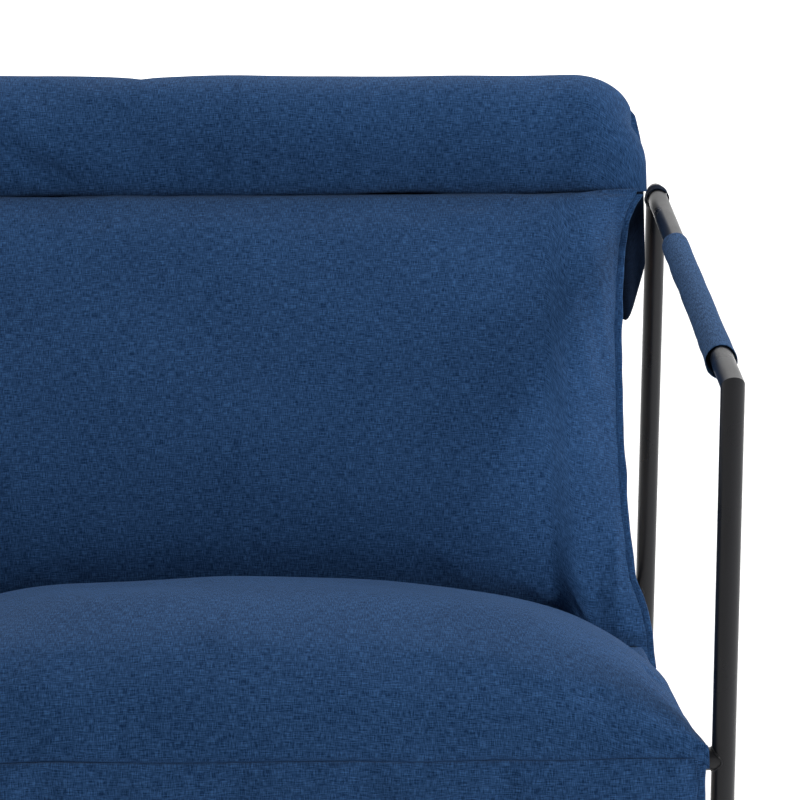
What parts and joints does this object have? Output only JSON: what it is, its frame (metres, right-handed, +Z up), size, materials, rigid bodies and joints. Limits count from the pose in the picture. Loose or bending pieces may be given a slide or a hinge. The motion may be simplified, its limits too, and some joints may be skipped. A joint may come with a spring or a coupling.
{
  "type": "reclining padded lounge sofa",
  "caption": "Padded lounge sofa on a round steel tube frame: crowned seat, headrest roll, wrapped arms, and a back that reclines flat on friction hinges.",
  "frame": {"origin": "on the floor, under the middle of the overall box", "axes": "+Z up, the sitter faces -Y, +X to the right seen from the front"},
  "size_m": [0.9284, 0.8864, 0.8033],
  "materials": {
    "frame_paint": "satin powder coat, charcoal",
    "hinge_plate": "satin powder coat",
    "hinge_hardware": "zinc plated",
    "friction_disc": "fibre",
    "foot_cap": "matt",
    "tube_plug": "matt",
    "slat_holder": "matt",
    "bumper_rubber": "matt",
    "slat_wood": "clear lacquer, bent beech",
    "cushion_fabric": "navy linen-look weave",
    "sleeve_fabric": "navy linen-look weave",
    "tie_webbing": "navy weave"
  },
  "bodies": {
    "frame": {"crease_strip": "cushion_fabric", "front_panel": "cushion_fabric", "front_rail": "frame_paint", "left_arm_tube": "frame_paint", "left_bumper": "bumper_rubber", "left_fixed_plate": "hinge_plate", "left_friction_discs": "friction_disc", "left_front_foot": "foot_cap", "left_front_leg": "frame_paint", "left_hinge_bolt": "hinge_hardware", "left_hinge_nut": "hinge_hardware", "left_rear_foot": "foot_cap", "left_rear_leg": "frame_paint", "left_rest_post": "frame_paint", "left_seat_slat_holders": "slat_holder", "left_side_rail": "frame_paint", "left_tie_loop": "tie_webbing", "rear_rail": "frame_paint", "right_arm_tube": "frame_paint", "right_bumper": "bumper_rubber", "right_fixed_plate": "hinge_plate", "right_friction_discs": "friction_disc", "right_front_foot": "foot_cap", "right_front_leg": "frame_paint", "right_hinge_bolt": "hinge_hardware", "right_hinge_nut": "hinge_hardware", "right_rear_foot": "foot_cap", "right_rear_leg": "frame_paint", "right_rest_post": "frame_paint", "right_seat_slat_holders": "slat_holder", "right_side_rail": "frame_paint", "right_tie_loop": "tie_webbing", "seat_pad": "cushion_fabric", "seat_slat_1": "slat_wood", "seat_slat_2": "slat_wood", "seat_slat_3": "slat_wood", "seat_slat_4": "slat_wood", "seat_slat_5": "slat_wood"},
    "back": {"back_pad": "cushion_fabric", "back_slat_1": "slat_wood", "back_slat_2": "slat_wood", "back_slat_3": "slat_wood", "back_slat_4": "slat_wood", "headrest_roll": "cushion_fabric", "left_back_slat_holders": "slat_holder", "left_back_tube": "frame_paint", "left_moving_plate": "hinge_plate", "left_tube_plug": "tube_plug", "lower_back_tube": "frame_paint", "rear_flap": "cushion_fabric", "right_back_slat_holders": "slat_holder", "right_back_tube": "frame_paint", "right_moving_plate": "hinge_plate", "right_tube_plug": "tube_plug", "top_rail": "frame_paint"},
    "left_sleeve": {"left_sleeve": "sleeve_fabric", "left_sleeve_overlap": "sleeve_fabric"},
    "right_sleeve": {"right_sleeve": "sleeve_fabric", "right_sleeve_overlap": "sleeve_fabric"}
  },
  "joints": [
    {"name": "back_recline", "type": "hinge", "parent": "frame", "child": "back", "pos_m": [0, 0.0789, 0.26645], "axis": [-1, 0, 0], "range_deg": [0, 60]},
    {"name": "left_sleeve_slide", "type": "slide", "parent": "frame", "child": "left_sleeve", "axis": [0, 1, 0], "range_m": [-0.06, 0.06]},
    {"name": "right_sleeve_slide", "type": "slide", "parent": "frame", "child": "right_sleeve", "axis": [0, 1, 0], "range_m": [-0.06, 0.06]}
  ]
}
